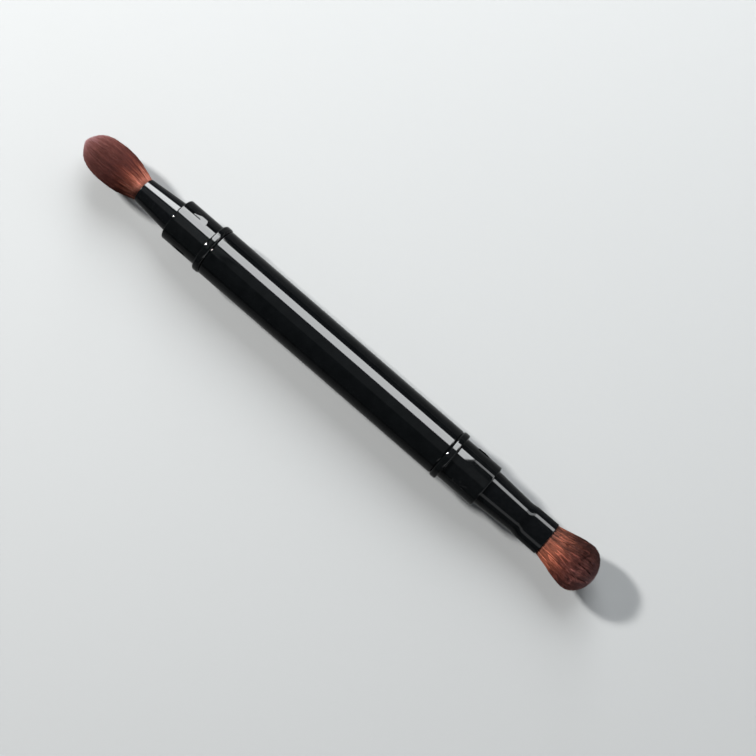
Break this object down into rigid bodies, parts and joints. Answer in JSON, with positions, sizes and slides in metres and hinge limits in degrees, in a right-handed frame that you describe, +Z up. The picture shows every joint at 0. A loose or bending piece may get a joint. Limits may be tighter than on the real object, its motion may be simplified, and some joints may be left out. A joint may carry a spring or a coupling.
{
  "type": "double ended makeup brush",
  "caption": "Slim glossy black rod with a hair tuft in a metal ferrule on each end: one small and egg-shaped, one wide and flared. A stepped neck for a push-on cap sits behind each ferrule.",
  "frame": {"origin": "middle of the barrel, on its axis", "axes": "+X along the brush from the small egg-shaped tuft to the large flared tuft, +Z up, square to the wide side of the flared tuft's oval mouth"},
  "size_m": [0.1433, 0.0118, 0.0119],
  "materials": {
    "barrel_black": "high gloss black, faint fine scratches",
    "collar_black": "gloss black moulded plastic",
    "ferrule_black": "gloss black lacquer on thin metal",
    "hair_a": "soft hair, copper at the root to burgundy brown at the tip",
    "hair_b": "soft hair, copper at the root to dark brown at the tip",
    "resin": "set amber resin"
  },
  "bodies": {
    "root": {"barrel_tube": "barrel_black", "collar_a": "collar_black", "collar_b": "collar_black", "ferrule_a": "ferrule_black", "ferrule_b": "ferrule_black", "tuft_a": "hair_a", "tuft_b": "hair_b", "glue_plug_a": "resin", "glue_plug_b": "resin"}
  },
  "joints": []
}
